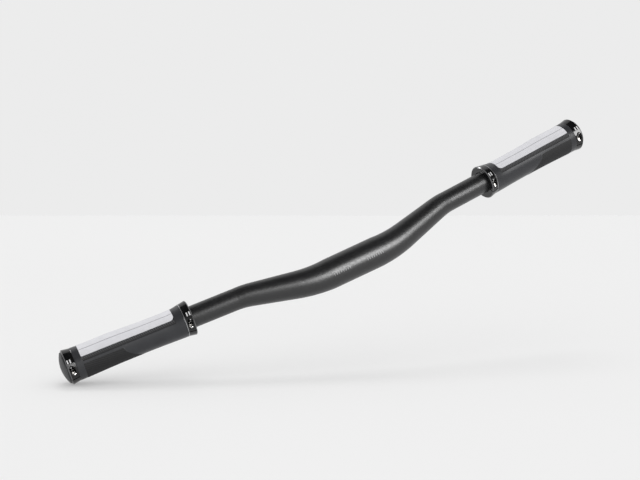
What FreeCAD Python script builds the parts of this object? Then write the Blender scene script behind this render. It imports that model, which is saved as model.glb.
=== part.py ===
"""Low-rise bicycle handlebar with a pair of clamp-on comfort grips, in millimetres.

The origin is the middle of the stem clamp zone. +X runs along the bar to the rider's left hand,
+Y points back to the rider and +Z points up. The two sides mirror each other across X = 0.
"""
import FreeCAD, Part
import math
import os
import Sketcher

Vector = FreeCAD.Vector
Placement = FreeCAD.Placement

# Driving sizes in millimetres, with the angles in degrees
SIZES = {
    # Bar: tube end to tube end, then the clamp zone and the tube at the grips
    "bar_width": 610,
    "clamp_diameter": 31.8,
    "clamp_width": 56,
    "clamp_wall": 2.8,
    "tube_diameter": 22.2,
    "tube_wall": 2.1,
    # Bends: where the straight runs would meet, and how far each bend reaches from there
    "bend_one_lead": 1,
    "bend_one_reach": 18,
    "bend_two_x": 118,
    "bend_two_back": 9,
    "rise": 14.95,
    "bend_two_reach": 8,
    "backsweep": 7.3,
    "upsweep": 1.75,
    # Grip: outer face of one ring to outer face of the other, and the hard core's share of its wall
    "grip_length": 131.6,
    "fit_clearance": 0.1,
    "core_share": 0.33,
    "lug_length": 2.5,
    "lug_width": 6,
    # Clamp rings: how proud of the barrel at the grip side and at the open face, and the split
    "ring_width": 8.8,
    "ring_seat_proud": 0.6,
    "ring_face_proud": 1.9,
    "ring_edge_chamfer": 0.9,
    "ring_bore_chamfer": 0.5,
    "pinch_slot_width": 1,
    "pinch_slot_angle": -42,
    # Clamp bolts: axis square to the split, a share of the way through the ring's wall
    "bolt_axis_share": 0.53,
    "bolt_seat_offset": 3.6,
    "bolt_diameter": 3,
    "bolt_length": 8.5,
    "bolt_head_diameter": 5.2,
    "bolt_head_height": 2.2,
    "bolt_edge_chamfer": 0.4,
    "bolt_pocket_clearance": 0.2,
    "socket_width": 2.5,
    "socket_depth": 1.4,
    # Rubber sleeve: barrel at the palm, then each other section against it, by its share of the length
    "barrel_diameter": 32.2,
    "inner_end_fuller": 0.7,
    "shoulder_share": 0.07,
    "shoulder_slimmer": 0.15,
    "shoulder_drop": 0.7,
    "thumb_share": 0.2,
    "thumb_slimmer": 0.6,
    "thumb_drop": 0.75,
    "waist_share": 0.41,
    "waist_slimmer": 0.6,
    "waist_drop": 0.35,
    "palm_share": 0.66,
    "palm_lift": 0.2,
    "heel_share": 0.87,
    "heel_fuller": 0.25,
    "heel_drop": 0.15,
    "outer_end_fuller": 0.8,
    # Pad let into the top by a share of the rubber's wall, in a shallow sunk border
    "pad_inboard_inset": 9,
    "pad_outboard_inset": 7.3,
    "pad_half_angle": 66,
    "pad_share": 0.7,
    "pad_proud": 0.35,
    "pad_corner_radius": 4.5,
    "pad_groove_angle": 38,
    "pad_groove_spread": 2.4,
    "pad_groove_depth": 0.5,
    "border_spread": 13,
    "border_depth": 0.35,
    # Textured panel proud of the underside of the outboard half
    "panel_start": 57,
    "panel_half_angle": 82,
    "panel_proud": 0.2,
    # End plug: dome outside, ribbed hollow stem inside the tube
    "plug_cap_diameter": 32,
    "plug_rim_height": 1.4,
    "plug_dome_height": 5.5,
    "plug_stem_length": 22,
    "plug_stem_wall": 2.3,
    "plug_rib_height": 0.6,
    "plug_rib_width": 2,
    "plug_rib_pitch": 5.5,
}
PLUG_RIBS = 3


class Size:
    """A length or angle that carries both its number and the sheet expression behind it."""

    def __init__(self, text, value):
        self.text = text
        self.value = value

    def joined(self, sign, other, value):
        other_text = other.text if isinstance(other, Size) else str(other)
        return Size("(" + self.text + " " + sign + " " + other_text + ")", value)

    def __add__(self, other):
        return self.joined("+", other, self.value + number(other))

    def __sub__(self, other):
        return self.joined("-", other, self.value - number(other))

    def __mul__(self, other):
        return self.joined("*", other, self.value * number(other))

    def __truediv__(self, other):
        return self.joined("/", other, self.value / number(other))


def number(size):
    """The plain number of a Size, or the number itself."""
    return size.value if isinstance(size, Size) else size


def write_sheet(doc):
    """Puts the driving sizes in a sheet, one aliased cell each, and returns them as Size values."""
    sheet = doc.addObject("Spreadsheet::Sheet", "sizes")
    named = {}
    for row, (alias, value) in enumerate(SIZES.items(), start=1):
        cell = "B%d" % row
        sheet.set("A%d" % row, alias)
        sheet.set(cell, str(value))
        sheet.setAlias(cell, alias)
    doc.recompute()
    for alias in SIZES:
        named[alias] = Size("sizes." + alias, float(sheet.get(alias)))
    return named


def bind(item, prop, size):
    """Ties a property of a document object to a Size."""
    item.setExpression(prop, size.text)


def draw_outline(sketch, outline):
    """Draws a closed outline of (radius, height, curve) corners.

    The curve bends the side that leaves the corner: None for a straight side, or a pair of the
    arc's radius and the way it bows, 1 to the left of the direction of travel and -1 to the right.
    """
    start, end, origin = 1, 2, (-1, 1)
    corners = [Vector(number(radius), number(height), 0) for radius, height, _ in outline]
    firsts = []
    lasts = []
    for index, (_, _, curve) in enumerate(outline):
        here = corners[index]
        there = corners[(index + 1) % len(corners)]
        ends = (start, end)
        if curve is None:
            sketch.addGeometry(Part.LineSegment(here, there))
        else:
            arc_radius, bow = curve
            half = (there - here) / 2
            rise = arc_radius.value - math.sqrt(arc_radius.value ** 2 - half.Length ** 2)
            sideways = Vector(-half.y, half.x, 0).normalize()
            middle = here + half + sideways * rise * bow
            if bow > 0:
                sketch.addGeometry(Part.Arc(there, middle, here))
                ends = (end, start)
            else:
                sketch.addGeometry(Part.Arc(here, middle, there))
        firsts.append((index, ends[0]))
        lasts.append((index, ends[1]))
    for index, (radius, height, curve) in enumerate(outline):
        following = firsts[(index + 1) % len(firsts)]
        sketch.addConstraint(Sketcher.Constraint("Coincident", *lasts[index], *following))
        for kind, axis, size in (("DistanceX", -2, radius), ("DistanceY", -1, height)):
            if number(size) == 0:
                sketch.addConstraint(Sketcher.Constraint("PointOnObject", *firsts[index], axis))
            else:
                rule = Sketcher.Constraint(kind, *origin, *firsts[index], size.value)
                bind(sketch, "Constraints[%d]" % sketch.addConstraint(rule), size)
        if curve is not None:
            rule = Sketcher.Constraint("Radius", index, curve[0].value)
            bind(sketch, "Constraints[%d]" % sketch.addConstraint(rule), curve[0])


def turned(doc, name, outline, placement, sweep=None):
    """A body turned from an outline about its own Z axis.

    With no sweep it goes all the way round. With one, it spans that angle, centred on +Y.
    """
    body = doc.addObject("PartDesign::Body", name)
    sketch = body.newObject("Sketcher::SketchObject", name + "_outline")
    role = "XZ_Plane" if sweep is None else "YZ_Plane"
    plane = [feature for feature in body.Origin.OriginFeatures if feature.Role == role][0]
    sketch.AttachmentSupport = (plane, [""])
    sketch.MapMode = "FlatFace"
    draw_outline(sketch, outline)
    turn = body.newObject("PartDesign::Revolution", name + "_turn")
    turn.Profile = sketch
    turn.ReferenceAxis = (sketch, ["V_Axis"])
    if sweep is None:
        turn.Angle = 360
    else:
        turn.Midplane = True
        bind(turn, "Angle", sweep)
    body.Placement = placement
    return body


def cylinder(doc, name, radius, height, placement):
    """A solid cylinder along its own Z axis."""
    item = doc.addObject("Part::Cylinder", name)
    bind(item, "Radius", radius)
    bind(item, "Height", height)
    item.Placement = placement
    return item


def box(doc, name, length, width, height, placement):
    """A box from its own origin corner, along its own X, Y and Z."""
    item = doc.addObject("Part::Box", name)
    bind(item, "Length", length)
    bind(item, "Width", width)
    bind(item, "Height", height)
    item.Placement = placement
    return item


def pair(doc, kind, name, base, tool):
    """A Part::Cut, Part::Fuse or Part::Common of two objects."""
    item = doc.addObject(kind, name)
    item.Base = base
    item.Tool = tool
    return item


def fused(doc, name, items):
    """Several objects joined into one."""
    item = doc.addObject("Part::MultiFuse", name)
    item.Shapes = items
    item.Refine = True
    return item


def mirrored(doc, name, source, base, normal):
    """The mirror image of an object across a plane."""
    item = doc.addObject("Part::Mirroring", name)
    item.Source = source
    item.Base = base
    item.Normal = normal
    return item


def shifted(distance, turn=0):
    """A step along Z with a turn about it, in degrees."""
    return Placement(Vector(0, 0, distance), FreeCAD.Rotation(Vector(0, 0, 1), turn))


def grip_direction(size):
    """Unit vector of the left grip, from the sweep angles."""
    back = math.radians(size["backsweep"].value)
    up = math.radians(size["upsweep"].value)
    return Vector(math.cos(back) * math.cos(up), math.sin(back) * math.cos(up), math.sin(up))


def bar_corners(size):
    """Where the straight runs of the left half would meet: clamp centre, two bends and tube end."""
    first = size["clamp_width"] / 2 + size["bend_one_lead"] + size["bend_one_reach"]
    second = Vector(size["bend_two_x"].value, size["bend_two_back"].value, size["rise"].value)
    direction = grip_direction(size)
    reach = (size["bar_width"].value / 2 - second.x) / direction.x
    return [Vector(), Vector(first.value, 0, 0), second, second + direction * reach]


def grip_frame(size):
    """Frame of the left grip: origin at the tube end, Z outwards along the tube, Y upwards."""
    along = grip_direction(size)
    rearward = Vector(0, 0, 1).cross(along).normalize()
    upward = along.cross(rearward)
    return Placement(bar_corners(size)[-1], FreeCAD.Rotation(rearward, upward, along, "ZYX"))


def rounded_bend(before, corner, after, reach):
    """Start, middle and end of the arc that rounds a corner of the bar, from a reach before it."""
    back = (before - corner).normalize()
    on = (after - corner).normalize()
    half_turn = (math.pi - back.getAngle(on)) / 2
    radius = reach / math.tan(half_turn)
    inward = (back + on).normalize()
    middle = corner + inward * (radius / math.cos(half_turn) - radius)
    return corner + back * reach, middle, corner + on * reach


def tube_half(doc, name, size, clamp_radius, tube_radius, overrun):
    """Left half of the bar beyond the clamp zone: a taper through both bends, then a straight run."""
    centre, first, second, tip = bar_corners(size)
    taper_start = Vector(size["clamp_width"].value / 2, 0, 0)
    one = rounded_bend(centre, first, second, size["bend_one_reach"].value)
    two = rounded_bend(first, second, tip, size["bend_two_reach"].value)
    path = doc.addObject("Part::Feature", name + "_path")
    path.Shape = Part.Wire([
        Part.LineSegment(taper_start, one[0]).toShape(),
        Part.Arc(*one).toShape(),
        Part.LineSegment(one[2], two[0]).toShape(),
        Part.Arc(*two).toShape(),
    ])
    along = grip_direction(size)
    sections = []
    for end, radius, place, normal in (
        ("inner", clamp_radius, taper_start, Vector(1, 0, 0)),
        ("outer", tube_radius, two[2], along),
    ):
        ring = doc.addObject("Part::Circle", name + "_" + end)
        bind(ring, "Radius", radius)
        ring.Placement = Placement(place, FreeCAD.Rotation(Vector(0, 0, 1), normal))
        sections.append(ring)
    taper = doc.addObject("Part::Sweep", name + "_taper")
    taper.Sections = sections
    taper.Spine = (path, ["Edge%d" % (index + 1) for index in range(len(path.Shape.Edges))])
    taper.Solid = True
    run = doc.addObject("Part::Cylinder", name + "_run")
    bind(run, "Radius", tube_radius)
    run.Height = (tip - two[2]).Length + overrun
    run.Placement = sections[1].Placement
    return fused(doc, name, [taper, run])


def tube_solid(doc, name, size, clamp_radius, tube_radius, overrun):
    """A whole bar shape, from one tube end to the other."""
    half = tube_half(doc, name + "_half", size, clamp_radius, tube_radius, overrun)
    other = mirrored(doc, name + "_other_half", half, Vector(), Vector(1, 0, 0))
    width = size["clamp_width"]
    sideways = FreeCAD.Rotation(Vector(0, 0, 1), Vector(1, 0, 0))
    clamp_start = Placement(Vector(-width.value / 2, 0, 0), sideways)
    clamp = cylinder(doc, name + "_clamp", clamp_radius, width, clamp_start)
    return fused(doc, name, [clamp, half, other])


def make_handlebar(doc, size):
    """The bent, tapered tube with its butted wall."""
    clamp_radius = size["clamp_diameter"] / 2
    tube_radius = size["tube_diameter"] / 2
    outside = tube_solid(doc, "bar_outside", size, clamp_radius, tube_radius, 0)
    clamp_bore = clamp_radius - size["clamp_wall"]
    tube_bore = tube_radius - size["tube_wall"]
    inside = tube_solid(doc, "bar_inside", size, clamp_bore, tube_bore, size["tube_wall"].value)
    return pair(doc, "Part::Cut", "handlebar", outside, inside)


def ring_bore(size):
    """Radius of a clamp ring's bore, a running fit on the tube."""
    return size["tube_diameter"] / 2 + size["fit_clearance"]


def barrel_radius(size):
    """Radius of the rubber at the palm, which the rings and the other sections go by."""
    return size["barrel_diameter"] / 2


def ring_face(size):
    """Radius of a clamp ring at its open face."""
    return barrel_radius(size) + size["ring_face_proud"]


def ring_outline(size):
    """Section of a clamp ring: seat face at height 0, cone out to the chamfered open face."""
    bore = ring_bore(size)
    face = ring_face(size)
    width = size["ring_width"]
    edge = size["ring_edge_chamfer"]
    lead = size["ring_bore_chamfer"]
    return [
        (bore, 0, None),
        (barrel_radius(size) + size["ring_seat_proud"], 0, None),
        (face, width - edge, None),
        (face - edge, width, None),
        (bore + lead, width, None),
        (bore, width - lead, None),
    ]


def bolt_frame(size):
    """Frame of the bolt in the split's frame: origin at its tip, Z towards its head."""
    bore = ring_bore(size).value
    wall = barrel_radius(size).value + size["ring_seat_proud"].value - bore
    tip = Vector(
        bore + wall * size["bolt_axis_share"].value,
        size["bolt_length"].value - size["bolt_seat_offset"].value,
        size["ring_width"].value / 2,
    )
    return Placement(tip, FreeCAD.Rotation(Vector(1, 0, 0), 90))


def make_ring(doc, name, size, frame):
    """A split clamp ring with its bolt hole, head pocket and lug notches, seat face at the frame."""
    blank = turned(doc, name + "_blank", ring_outline(size), frame)
    clearance = size["fit_clearance"]
    split = frame * shifted(0, 180 - size["pinch_slot_angle"].value)
    bolt = split * bolt_frame(size)
    reach = ring_face(size) * 2
    half_slot = size["pinch_slot_width"].value / 2
    slot = box(
        doc, name + "_slot", reach, size["pinch_slot_width"], size["ring_width"],
        split * Placement(Vector(0, -half_slot, 0), FreeCAD.Rotation()),
    )
    hole = cylinder(
        doc, name + "_bolt_hole", size["bolt_diameter"] / 2 + clearance,
        size["bolt_length"] + clearance * 2, bolt * shifted(-clearance.value),
    )
    pocket = cylinder(
        doc, name + "_head_pocket", size["bolt_head_diameter"] / 2 + size["bolt_pocket_clearance"],
        reach, bolt * shifted(size["bolt_length"].value),
    )
    notch_width = size["lug_width"] + clearance * 2
    notch_depth = size["lug_length"] + clearance
    notch_radius = core_radius(size) + clearance
    across = box(
        doc, name + "_notch_bar", notch_width, notch_radius * 2, notch_depth,
        frame * Placement(Vector(-notch_width.value / 2, -notch_radius.value, 0), FreeCAD.Rotation()),
    )
    limit = cylinder(doc, name + "_notch_limit", notch_radius, notch_depth, frame)
    notches = pair(doc, "Part::Common", name + "_notches", across, limit)
    tools = fused(doc, name + "_cuts", [slot, hole, pocket, notches])
    return pair(doc, "Part::Cut", name, blank, tools)


def make_bolt(doc, name, size, frame):
    """A socket head bolt, tip at the frame and head along +Z."""
    shank = size["bolt_diameter"] / 2
    head = size["bolt_head_diameter"] / 2
    edge = size["bolt_edge_chamfer"]
    seat = size["bolt_length"]
    top = seat + size["bolt_head_height"]
    blank = turned(doc, name + "_blank", [
        (0, 0, None),
        (shank - edge, 0, None),
        (shank, edge, None),
        (shank, seat, None),
        (head, seat, None),
        (head, top - edge, None),
        (head - edge, top, None),
        (0, top, None),
    ], frame)
    socket = doc.addObject("Part::Prism", name + "_socket")
    socket.Polygon = 6
    bind(socket, "Circumradius", size["socket_width"] / math.sqrt(3))
    bind(socket, "Height", size["socket_depth"])
    socket.Placement = frame * shifted(top.value - size["socket_depth"].value)
    return pair(doc, "Part::Cut", name, blank, socket)


def core_radius(size):
    """Outside radius of the hard sleeve, which is the rubber's bore."""
    bore = ring_bore(size)
    return bore + (barrel_radius(size) - bore) * size["core_share"]


def sleeve_length(size):
    """Distance between the seat faces of a grip's two rings."""
    return size["grip_length"] - size["ring_width"] * 2


def make_core(doc, name, size, frame):
    """The hard sleeve between the rings, with two lugs at each end, inboard end at the frame."""
    length = sleeve_length(size)
    outside = core_radius(size)
    lug = size["lug_length"]
    whole = length + lug * 2
    barrel = cylinder(doc, name + "_barrel", outside, length, frame)
    lug_start = shifted(-lug.value)
    long_barrel = cylinder(doc, name + "_long_barrel", outside, whole, frame * lug_start)
    corner = Vector(-size["lug_width"].value / 2, -outside.value, -lug.value)
    bar = box(
        doc, name + "_lug_bar", size["lug_width"], outside * 2, whole,
        frame * Placement(corner, FreeCAD.Rotation()),
    )
    lugs = pair(doc, "Part::Common", name + "_lugs", long_barrel, bar)
    keyed = pair(doc, "Part::Fuse", name + "_keyed", barrel, lugs)
    bore = cylinder(doc, name + "_bore", ring_bore(size), whole, frame * lug_start)
    return pair(doc, "Part::Cut", name, keyed, bore)


def hollow_radius(drop, reach):
    """Radius of an arc that starts along the axis and drops sideways over a reach."""
    return (drop * drop + reach * reach) / (drop * 2)


def contour_sections(size):
    """Height, radius and lift of each round section of the rubber, from its inboard end outwards."""
    barrel = barrel_radius(size)
    length = sleeve_length(size)
    sections = [(0, barrel + size["inner_end_fuller"], 0)]
    for name in ("shoulder", "thumb", "waist"):
        slim = barrel - size[name + "_slimmer"]
        sections.append((length * size[name + "_share"], slim, size[name + "_drop"] * -1))
    sections.append((length * size["palm_share"], barrel, size["palm_lift"]))
    full = barrel + size["heel_fuller"]
    sections.append((length * size["heel_share"], full, size["heel_drop"] * -1))
    sections.append((length, barrel + size["outer_end_fuller"], 0))
    return sections


def contour(doc, name, size, extra, frame):
    """A solid through the round sections of the rubber, each larger by so much."""
    rings = []
    for index, (height, radius, lift) in enumerate(contour_sections(size)):
        ring = doc.addObject("Part::Circle", "%s_section%d" % (name, index))
        bind(ring, "Radius", radius + extra)
        place = Vector(0, number(lift), number(height))
        ring.Placement = frame * Placement(place, FreeCAD.Rotation())
        rings.append(ring)
    loft = doc.addObject("Part::Loft", name)
    loft.Sections = rings
    loft.Solid = True
    return loft


def zone(doc, name, size, floor, start, sweep, placement):
    """Part of a thick shell round the grip, from a start to the pad's outboard end, past the rubber."""
    end = sleeve_length(size) - size["pad_outboard_inset"]
    roof = ring_face(size)
    return turned(doc, name, [
        (floor, start, None),
        (roof, start, None),
        (roof, end, None),
        (floor, end, None),
    ], placement, sweep)


def round_inboard_corners(doc, body, size):
    """Rounds the two corners of the pad at its inboard end."""
    doc.recompute()
    turn = body.Tip
    start = size["pad_inboard_inset"].value
    names = []
    for index, edge in enumerate(turn.Shape.Edges, start=1):
        heights = [vertex.Point.z for vertex in edge.Vertexes]
        straight = isinstance(edge.Curve, Part.Line)
        if straight and all(abs(height - start) < 1e-6 for height in heights):
            names.append("Edge%d" % index)
    fillet = body.newObject("PartDesign::Fillet", body.Name + "_corners")
    fillet.Base = (turn, names)
    bind(fillet, "Radius", size["pad_corner_radius"])


def make_pad(doc, side, size, frame, pocket, floor):
    """The pad that fills its pocket, a little proud of the rubber, with three grooves along it."""
    proud = size["pad_proud"]
    crown = contour(doc, "pad_crown" + side, size, proud, frame)
    blank = pair(doc, "Part::Common", "pad_blank" + side, crown, pocket)
    bed = contour(doc, "groove_bed" + side, size, proud - size["pad_groove_depth"], frame)
    angle = size["pad_groove_angle"].value
    lines = []
    for index, turn in enumerate((-angle, 0, angle)):
        lines.append(zone(
            doc, "pad_groove%d%s" % (index, side), size, floor, size["pad_inboard_inset"],
            size["pad_groove_spread"], frame * shifted(0, turn),
        ))
    grooves = pair(doc, "Part::Cut", "pad_grooves" + side, fused(doc, "groove_lines" + side, lines), bed)
    return pair(doc, "Part::Cut", "grip_pad" + side, blank, grooves)


def make_pad_and_rubber(doc, side, size, frame):
    """The grooved pad, and the rubber sleeve with its proud panel, sunk border and pad pocket."""
    core = core_radius(size)
    floor = barrel_radius(size) - (barrel_radius(size) - core) * size["pad_share"]
    sweep = size["pad_half_angle"] * 2
    start = size["pad_inboard_inset"]
    pocket = zone(doc, "pad_pocket" + side, size, floor, start, sweep, frame)
    round_inboard_corners(doc, pocket, size)
    pad = make_pad(doc, side, size, frame, pocket, floor)
    panel = pair(
        doc, "Part::Common", "panel" + side,
        contour(doc, "panel_crown" + side, size, size["panel_proud"], frame),
        zone(doc, "panel_zone" + side, size, floor, size["panel_start"], size["panel_half_angle"] * 2,
             frame * shifted(0, 180)),
    )
    border = pair(
        doc, "Part::Cut", "pad_border" + side,
        zone(doc, "border_zone" + side, size, floor, start, sweep + size["border_spread"] * 2, frame),
        contour(doc, "border_bed" + side, size, size["border_depth"] * -1, frame),
    )
    sleeve = fused(doc, "sleeve" + side, [contour(doc, "sleeve_body" + side, size, 0, frame), panel])
    bore = cylinder(doc, "sleeve_bore" + side, core, sleeve_length(size), frame)
    cuts = fused(doc, "sleeve_cuts" + side, [bore, pocket, border])
    return pad, pair(doc, "Part::Cut", "grip_rubber" + side, sleeve, cuts)


def plug_outline(size):
    """Section of the end plug: ribbed hollow stem from height 0, then the rim and dome of its cap."""
    rib = size["tube_diameter"] / 2 - size["tube_wall"] - size["fit_clearance"]
    stem = rib - size["plug_rib_height"]
    hollow = stem - size["plug_stem_wall"]
    seat = size["plug_stem_length"]
    rim = seat + size["plug_rim_height"]
    top = seat + size["plug_dome_height"]
    cap = size["plug_cap_diameter"] / 2
    outline = [(hollow, 0, None), (stem, 0, None)]
    for index in range(1, PLUG_RIBS + 1):
        foot = size["plug_rib_pitch"] * index
        crest = foot + size["plug_rib_width"]
        outline += [(stem, foot, None), (rib, crest, None), (stem, crest, None)]
    outline += [
        (stem, seat, None),
        (cap, seat, None),
        (cap, rim, (hollow_radius(top - rim, cap), -1)),
        (0, top, None),
        (0, seat, None),
        (hollow, seat, None),
    ]
    return outline


def make_grip(doc, size):
    """Every piece of the left grip, in a list."""
    end = grip_frame(size)
    along = grip_direction(size)
    seat = end * shifted(-size["ring_width"].value)
    inboard_seat = end * shifted(size["ring_width"].value - size["grip_length"].value)
    middle = (end * shifted(-size["grip_length"].value / 2)).Base
    ring = make_ring(doc, "clamp_ring_outboard_left", size, seat)
    split = seat * shifted(0, 180 - size["pinch_slot_angle"].value)
    bolt = make_bolt(doc, "clamp_bolt_outboard_left", size, split * bolt_frame(size))
    pad, rubber = make_pad_and_rubber(doc, "_left", size, inboard_seat)
    plug_seat = end * shifted(-size["plug_stem_length"].value)
    return [
        ring,
        bolt,
        mirrored(doc, "clamp_ring_inboard_left", ring, middle, along),
        mirrored(doc, "clamp_bolt_inboard_left", bolt, middle, along),
        make_core(doc, "grip_core_left", size, inboard_seat),
        rubber,
        pad,
        turned(doc, "end_plug_left", plug_outline(size), plug_seat),
    ]


def check_document(doc, nodes):
    """Stops if any object failed, or any sub-part is empty, broken or not one solid."""
    for item in doc.Objects:
        if "Invalid" in item.State or "Error" in item.State:
            raise RuntimeError("failed object: " + item.Name + " " + str(item.State))
    for node in nodes:
        if node.Shape.isNull() or not node.Shape.isValid() or len(node.Shape.Solids) != 1:
            raise RuntimeError("bad sub-part: " + node.Label)


def main():
    doc = FreeCAD.newDocument("handlebar")
    size = write_sheet(doc)
    nodes = [make_handlebar(doc, size)]
    for piece in make_grip(doc, size):
        nodes.append(piece)
        name = piece.Label.replace("_left", "_right")
        nodes.append(mirrored(doc, name, piece, Vector(), Vector(1, 0, 0)))
    doc.recompute()
    check_document(doc, nodes)
    os.makedirs("parts", exist_ok=True)
    for node in nodes:
        node.Shape.exportStep(os.path.join("parts", node.Label + ".step"))


main()
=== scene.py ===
"""Finishes, grip rubber, pads, marks and studio for a bicycle handlebar with comfort grips.

Everything is in metres, in the bar's own frame: the origin is the middle of the stem clamp zone,
+X runs to the rider's left hand, +Y back to the rider and +Z up.
"""
import math

import bpy
import numpy as np
from bpy.props import FloatProperty, FloatVectorProperty, IntProperty, PointerProperty
from mathutils import Euler, Matrix, Vector


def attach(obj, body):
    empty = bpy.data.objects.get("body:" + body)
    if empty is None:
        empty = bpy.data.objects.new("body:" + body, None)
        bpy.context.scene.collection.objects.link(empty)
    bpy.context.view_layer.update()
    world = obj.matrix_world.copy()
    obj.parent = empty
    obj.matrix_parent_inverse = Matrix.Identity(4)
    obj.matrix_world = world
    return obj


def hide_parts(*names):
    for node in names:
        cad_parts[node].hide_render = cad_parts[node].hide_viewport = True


bl_info = {
    "name": "Comfort handlebar",
    "version": (1, 0, 0),
    "blender": (4, 5, 0),
    "location": "3D View > Sidebar > Handlebar",
    "description": "Finishes, grip rubber, pads, marks and studio for a comfort handlebar",
    "category": "Object",
}

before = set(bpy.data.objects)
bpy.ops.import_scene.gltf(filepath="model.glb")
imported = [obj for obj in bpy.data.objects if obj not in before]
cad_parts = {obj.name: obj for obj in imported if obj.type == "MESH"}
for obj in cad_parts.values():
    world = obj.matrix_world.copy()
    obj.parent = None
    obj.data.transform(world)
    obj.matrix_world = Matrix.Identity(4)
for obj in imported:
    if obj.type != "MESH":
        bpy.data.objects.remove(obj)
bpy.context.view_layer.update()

SIDES = (("left", 1), ("right", -1))
ENDS = ("inboard", "outboard")

# Pitch of the turned lines in the clamp zone, and where along X they start to fade and end
TURNED_PITCH, TURNED_FADE, TURNED_END = 0.0013, 0.0285, 0.0300
# Width of a step in the rubber's relief, where its glossy lip starts to fade and where it ends
RELIEF_EDGE, LIP_FADE, LIP_END = 0.0004, 0.0004, 0.0016
# Gap under a pad, and the share of its half width that its rounded corners leave as it is
BED_GAP, PAD_STILL = 0.00002, 0.68
# Thickness of the marks, and the share of it at which their undersides lie
CLAMP_MARK_THICKNESS, RING_MARK_THICKNESS, MARK_UNDERSIDE = 0.00003, 0.00004, 0.1
# Points along and across one mark, and the dot's place from one ring stripe to the next
MARK_STEPS, MARK_ACROSS, DOT_PLACE = 6, 5, 0.6
# Margins that keep a ring's bright chamfer off its cone and off its open face
CONE_MARGIN, FACE_MARGIN = 0.00004, 0.00006
# A stage sheet's length and its points a side, and how far off the suns are drawn
SHEET_LENGTH, SHEET_POINTS, SUN_DISTANCE = 6.0, 9, 2.0
# Width of the camera's film in millimetres, and how far it sees
FILM_WIDTH, CAMERA_REACH = 36, 50


def maker(kind, **fixed):
    """A function that makes one kind of setting from its name, description and default."""
    def make(name, description, default, **more):
        return kind(name=name, description=description, default=default, **fixed, **more)
    return make


# Lengths are in metres, colours linear, and shares between 0 and 1
length = maker(FloatProperty, min=0, precision=5, subtype="DISTANCE", unit="LENGTH")
share = maker(FloatProperty, min=0, max=1, subtype="FACTOR")
count = maker(IntProperty, min=1)
power = maker(FloatProperty, min=0)
colour = maker(FloatVectorProperty, size=3, min=0, max=1, subtype="COLOR")
direction = maker(FloatVectorProperty, size=3, subtype="DIRECTION")
triple = maker(FloatVectorProperty, size=3, precision=6)
section_row = maker(FloatVectorProperty, size=7, precision=5)


def angle(name, description, degrees):
    """An angle setting, given here in degrees."""
    return FloatProperty(name=name, description=description, default=math.radians(degrees),
                         subtype="ANGLE", unit="ROTATION")


class BarSizes(bpy.types.PropertyGroup):
    """Sizes of the bar that its marks and the grips are placed by."""

    bar_width: length("Bar width", "From one tube end to the other", 0.610)
    clamp_diameter: length("Clamp diameter", "Bar diameter where the stem holds it", 0.0318)
    bend_two_x: length("Second bend", "Distance of the second bend from the middle", 0.118)
    bend_two_back: length("Second bend back", "How far back the second bend lies", 0.009)
    rise: length("Rise", "Height of the second bend over the clamp zone", 0.01495)
    backsweep: angle("Backsweep", "Turn of the grips towards the rider", 7.3)
    upsweep: angle("Upsweep", "Turn of the grips upwards", 1.75)
    mark_start: length("First mark", "Distance of the first clamp mark from the middle", 0.0104)
    mark_pitch: length("Mark pitch", "Distance from one clamp mark to the next", 0.0026)
    mark_width: length("Mark width", "Width of a clamp mark", 0.0005)
    mark_top: angle("Mark top", "Upper end of a clamp mark, up from the front", 3.5)
    mark_foot: angle("Mark foot", "Lower end of a clamp mark, down from the front", 5.5)
    marks: count("Marks", "Clamp marks on each side", 8, max=10)


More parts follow.
